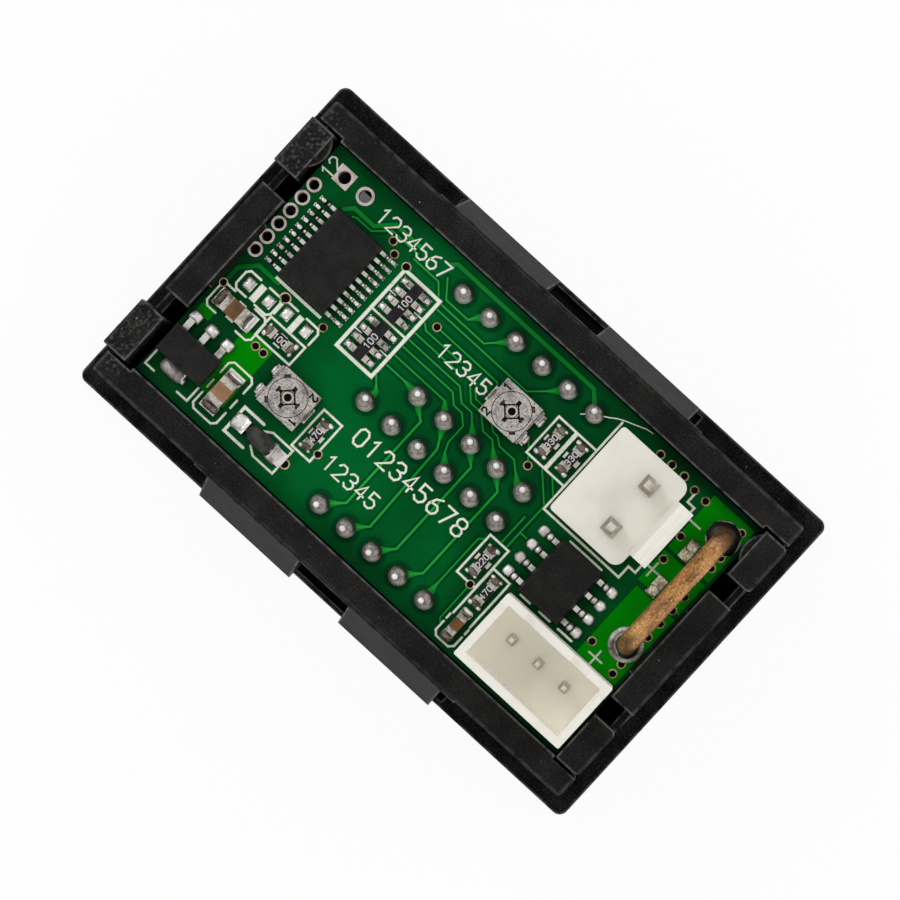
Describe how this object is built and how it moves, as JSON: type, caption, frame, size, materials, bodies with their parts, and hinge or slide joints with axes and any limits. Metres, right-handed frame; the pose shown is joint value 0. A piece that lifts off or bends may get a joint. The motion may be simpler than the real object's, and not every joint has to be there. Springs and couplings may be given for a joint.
{
  "type": "digital panel meter",
  "caption": "Snap-in rectangular panel meter with two three-digit displays behind a window and an open rear circuit board with two plug headers.",
  "frame": {"origin": "centre of the front face, on the surface that the meter lies on", "axes": "+X along the bezel's long side towards the two headers, +Y towards the side with the power header, +Z from the front face to the rear, so the part lies on its front face"},
  "size_m": [0.048, 0.0293, 0.0209],
  "materials": {
    "case_black": "moulded black plastic, fine matt grain",
    "window_tint": "dark tinted acrylic",
    "display_shell": "light grey display casting",
    "display_diffuser": "milky resin bars",
    "board_green": "green solder mask on glass fibre",
    "tin": "tinned leads and pins",
    "solder": "solder, partly bright",
    "shunt_metal": "bare copper alloy wire with some tarnish",
    "header_white": "milky white nylon",
    "package_black": "moulded chip package",
    "resistor_coat": "dark overglaze",
    "end_tin": "tinned end caps",
    "capacitor_brown": "brown ceramic",
    "trimmer_metal": "dull plated metal",
    "eyelet_brass": "plated brass eyelet"
  },
  "bodies": {
    "meter": {"housing": "case_black", "display_window": "window_tint", "upper_display_case": "display_shell", "upper_display_segments": "display_diffuser", "upper_display_pins": "tin", "lower_display_case": "display_shell", "lower_display_segments": "display_diffuser", "lower_display_pins": "tin", "circuit_board": "board_green", "plated_holes": "solder", "upper_display_joints": "solder", "lower_display_joints": "solder", "shunt_wire": "shunt_metal", "shunt_solder": "solder", "sense_solder": "solder", "power_header_housing": "header_white", "power_header_pins": "tin", "signal_header_housing": "header_white", "signal_header_pins": "tin", "header_joints": "solder", "controller_package": "package_black", "controller_leads": "tin", "amplifier_package": "package_black", "amplifier_leads": "tin", "regulator_package": "package_black", "regulator_leads": "tin", "diode_package": "package_black", "diode_leads": "tin", "pad_solder": "solder", "resistor_array_1": "resistor_coat", "resistor_array_1_ends": "end_tin", "resistor_array_2": "resistor_coat", "resistor_array_2_ends": "end_tin", "chip_resistor_1": "resistor_coat", "chip_resistor_1_ends": "end_tin", "chip_resistor_2": "resistor_coat", "chip_resistor_2_ends": "end_tin", "chip_resistor_3": "resistor_coat", "chip_resistor_3_ends": "end_tin", "chip_resistor_4": "resistor_coat", "chip_resistor_4_ends": "end_tin", "chip_resistor_5": "resistor_coat", "chip_resistor_5_ends": "end_tin", "chip_resistor_6": "resistor_coat", "chip_resistor_6_ends": "end_tin", "chip_capacitor_1": "capacitor_brown", "chip_capacitor_1_ends": "end_tin", "chip_capacitor_2": "capacitor_brown", "chip_capacitor_2_ends": "end_tin", "chip_capacitor_3": "capacitor_brown", "chip_capacitor_3_ends": "end_tin", "voltage_trimmer_base": "trimmer_metal", "voltage_trimmer_terminals": "tin", "voltage_trimmer_eyelet": "eyelet_brass", "current_trimmer_base": "trimmer_metal", "current_trimmer_terminals": "tin", "current_trimmer_eyelet": "eyelet_brass"},
    "voltage_rotor": {"voltage_trimmer_rotor": "trimmer_metal"},
    "current_rotor": {"current_trimmer_rotor": "trimmer_metal"}
  },
  "joints": [
    {"name": "voltage_trim", "type": "hinge", "parent": "meter", "child": "voltage_rotor", "pos_m": [-0.01088, -0.00505, 0.0124], "axis": [0, 0, 1], "range_deg": [-120, 120]},
    {"name": "current_trim", "type": "hinge", "parent": "meter", "child": "current_rotor", "pos_m": [0.0016, 0.00503, 0.0124], "axis": [0, 0, 1], "range_deg": [-120, 120]}
  ]
}
